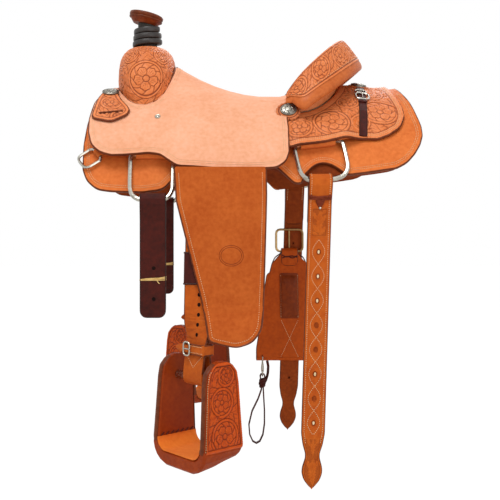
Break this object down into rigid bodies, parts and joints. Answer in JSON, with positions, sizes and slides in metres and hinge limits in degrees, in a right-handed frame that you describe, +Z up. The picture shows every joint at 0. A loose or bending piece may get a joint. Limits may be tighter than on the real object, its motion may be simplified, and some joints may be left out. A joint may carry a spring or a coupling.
{
  "type": "western roping saddle",
  "caption": "Western roping saddle with a rubber-wrapped horn, rough-out seat, tooled cantle and jockeys, rigging dees, hanging latigo, flank cinch and leather-covered stirrups.",
  "frame": {"origin": "on the centreline, at the top of the channel over the horse's spine, under the seat", "axes": "+X to the rear (cantle), -Y the near (left) side, +Z up"},
  "size_m": [0.7178, 0.7284, 1.0608],
  "materials": {
    "rough_out_leather": "rough-out leather, flesh side out",
    "tooled_leather": "floral-tooled leather, smooth grain",
    "plain_leather": "smooth skirting leather, stitched edges",
    "dark_leather": "oiled latigo leather, dark brown",
    "lining": "brown felt lining",
    "tree": "laminated wood tree, sealed",
    "rubber": "black rubber wrap",
    "steel": "stainless steel, polished",
    "horn_metal": "cast horn post"
  },
  "bodies": {
    "saddle": {"tree_fork": "tree", "near_tree_bar": "tree", "off_tree_bar": "tree", "tree_cantle": "tree", "horn_post": "horn_metal", "horn_cap": "tooled_leather", "horn_wrap": "rubber", "swell_cover": "tooled_leather", "ground_seat": "tree", "seat_leather": "rough_out_leather", "cantle_roll": "tooled_leather", "cantle_back": "tooled_leather", "near_rear_jockey": "tooled_leather", "near_skirt": "plain_leather", "near_skirt_lining": "lining", "near_rigging_leather": "plain_leather", "near_breast_tab": "plain_leather", "near_latigo_carrier": "tooled_leather", "near_front_concho": "steel", "near_seat_concho": "steel", "near_rear_concho": "steel", "near_rear_strap": "dark_leather", "off_rear_jockey": "tooled_leather", "off_skirt": "plain_leather", "off_skirt_lining": "lining", "off_rigging_leather": "plain_leather", "off_breast_tab": "plain_leather", "off_latigo_carrier": "tooled_leather", "off_front_concho": "steel", "off_seat_concho": "steel", "off_rear_concho": "steel", "off_rear_strap": "dark_leather"},
    "near_front_dee_body": {"near_front_dee": "steel"},
    "near_latigo_body": {"near_latigo": "dark_leather"},
    "near_rear_dee_body": {"near_rear_dee": "steel"},
    "near_flank_billet_body": {"near_flank_billet": "plain_leather"},
    "near_breast_dee_body": {"near_breast_dee": "steel"},
    "near_hanger_body": {"near_leather_hanger": "plain_leather"},
    "near_fender_body": {"near_fender": "rough_out_leather", "near_stirrup_leather": "plain_leather", "near_hobble_strap": "plain_leather"},
    "near_sleeve_body": {"near_leather_sleeve": "steel"},
    "near_stirrup_body": {"near_stirrup": "tooled_leather", "near_stirrup_bolt": "steel"},
    "off_front_dee_body": {"off_front_dee": "steel"},
    "off_billet_body": {"off_billet": "dark_leather"},
    "off_rear_dee_body": {"off_rear_dee": "steel"},
    "off_flank_billet_body": {"off_flank_billet": "plain_leather"},
    "off_breast_dee_body": {"off_breast_dee": "steel"},
    "off_hanger_body": {"off_leather_hanger": "plain_leather"},
    "off_fender_body": {"off_fender": "rough_out_leather", "off_stirrup_leather": "plain_leather", "off_hobble_strap": "plain_leather"},
    "off_sleeve_body": {"off_leather_sleeve": "steel"},
    "off_stirrup_body": {"off_stirrup": "tooled_leather", "off_stirrup_bolt": "steel"},
    "flank_cinch_body": {"flank_cinch": "plain_leather", "cinch_buckle": "steel"},
    "connector_body": {"connector_snap": "steel", "connector_strap": "dark_leather"}
  },
  "joints": [
    {"name": "near_front_dee_hinge", "type": "hinge", "parent": "saddle", "child": "near_front_dee_body", "pos_m": [-0.157, -0.21745, -0.09675], "axis": [-1, 0, 0], "range_deg": [0, 20]},
    {"name": "near_latigo_hinge", "type": "hinge", "parent": "near_front_dee_body", "child": "near_latigo_body", "pos_m": [-0.153, -0.2551, -0.191], "axis": [-1, 0, 0], "range_deg": [-2, 20]},
    {"name": "near_rear_dee_hinge", "type": "hinge", "parent": "saddle", "child": "near_rear_dee_body", "pos_m": [0.187, -0.20287, -0.07155], "axis": [-0.9898, -0.0689, -0.1246], "range_deg": [0, 20]},
    {"name": "near_flank_billet_hinge", "type": "hinge", "parent": "near_rear_dee_body", "child": "near_flank_billet_body", "pos_m": [0.187, -0.2402, -0.153], "axis": [-1, 0, 0], "range_deg": [-8, 18]},
    {"name": "near_breast_dee_hinge", "type": "hinge", "parent": "saddle", "child": "near_breast_dee_body", "pos_m": [-0.2695, -0.21104, -0.09437], "axis": [-0.6019, 0.4116, 0.6843], "range_deg": [0, 66]},
    {"name": "near_leather_swing", "type": "hinge", "parent": "saddle", "child": "near_hanger_body", "pos_m": [-0.0545, -0.262, -0.129], "axis": [0, 1, 0], "range_deg": [-12, 5]},
    {"name": "near_fender_lift", "type": "hinge", "parent": "near_hanger_body", "child": "near_fender_body", "pos_m": [-0.0545, -0.262, -0.129], "axis": [-1, 0, 0], "range_deg": [0, 60]},
    {"name": "near_sleeve_slide", "type": "slide", "parent": "near_fender_body", "child": "near_sleeve_body", "axis": [0, 0, 1], "range_m": [0, 0.025]},
    {"name": "near_stirrup_hinge", "type": "hinge", "parent": "near_fender_body", "child": "near_stirrup_body", "pos_m": [-0.063, -0.272, -0.547], "axis": [0.6428, -0.766, 0], "range_deg": [-20, 20]},
    {"name": "off_front_dee_hinge", "type": "hinge", "parent": "saddle", "child": "off_front_dee_body", "pos_m": [-0.157, 0.21745, -0.09675], "axis": [1, 0, 0], "range_deg": [0, 20]},
    {"name": "off_billet_hinge", "type": "hinge", "parent": "off_front_dee_body", "child": "off_billet_body", "pos_m": [-0.153, 0.2551, -0.191], "axis": [1, 0, 0], "range_deg": [-2, 20]},
    {"name": "off_rear_dee_hinge", "type": "hinge", "parent": "saddle", "child": "off_rear_dee_body", "pos_m": [0.187, 0.20287, -0.07155], "axis": [0.9898, -0.0689, 0.1246], "range_deg": [0, 20]},
    {"name": "off_flank_billet_hinge", "type": "hinge", "parent": "off_rear_dee_body", "child": "off_flank_billet_body", "pos_m": [0.187, 0.2402, -0.153], "axis": [1, 0, 0], "range_deg": [-8, 18]},
    {"name": "off_breast_dee_hinge", "type": "hinge", "parent": "saddle", "child": "off_breast_dee_body", "pos_m": [-0.2695, 0.21104, -0.09437], "axis": [0.6019, 0.4116, -0.6843], "range_deg": [0, 66]},
    {"name": "off_leather_swing", "type": "hinge", "parent": "saddle", "child": "off_hanger_body", "pos_m": [-0.0545, 0.262, -0.129], "axis": [0, 1, 0], "range_deg": [-3, 5]},
    {"name": "off_fender_lift", "type": "hinge", "parent": "off_hanger_body", "child": "off_fender_body", "pos_m": [-0.0545, 0.262, -0.129], "axis": [1, 0, 0], "range_deg": [0, 60]},
    {"name": "off_sleeve_slide", "type": "slide", "parent": "off_fender_body", "child": "off_sleeve_body", "axis": [0, 0, 1], "range_m": [0, 0.025]},
    {"name": "off_stirrup_hinge", "type": "hinge", "parent": "off_fender_body", "child": "off_stirrup_body", "pos_m": [-0.063, 0.272, -0.547], "axis": [0.6428, 0.766, 0], "range_deg": [-20, 20]},
    {"name": "flank_cinch_hinge", "type": "hinge", "parent": "off_flank_billet_body", "child": "flank_cinch_body", "pos_m": [0.172, 0.2284, -0.26], "axis": [-1, 0, 0], "range_deg": [0, 40]},
    {"name": "connector_hinge", "type": "hinge", "parent": "flank_cinch_body", "child": "connector_body", "pos_m": [0.103, 0.2296, -0.591], "axis": [1, 0, 0], "range_deg": [0, 40]}
  ]
}
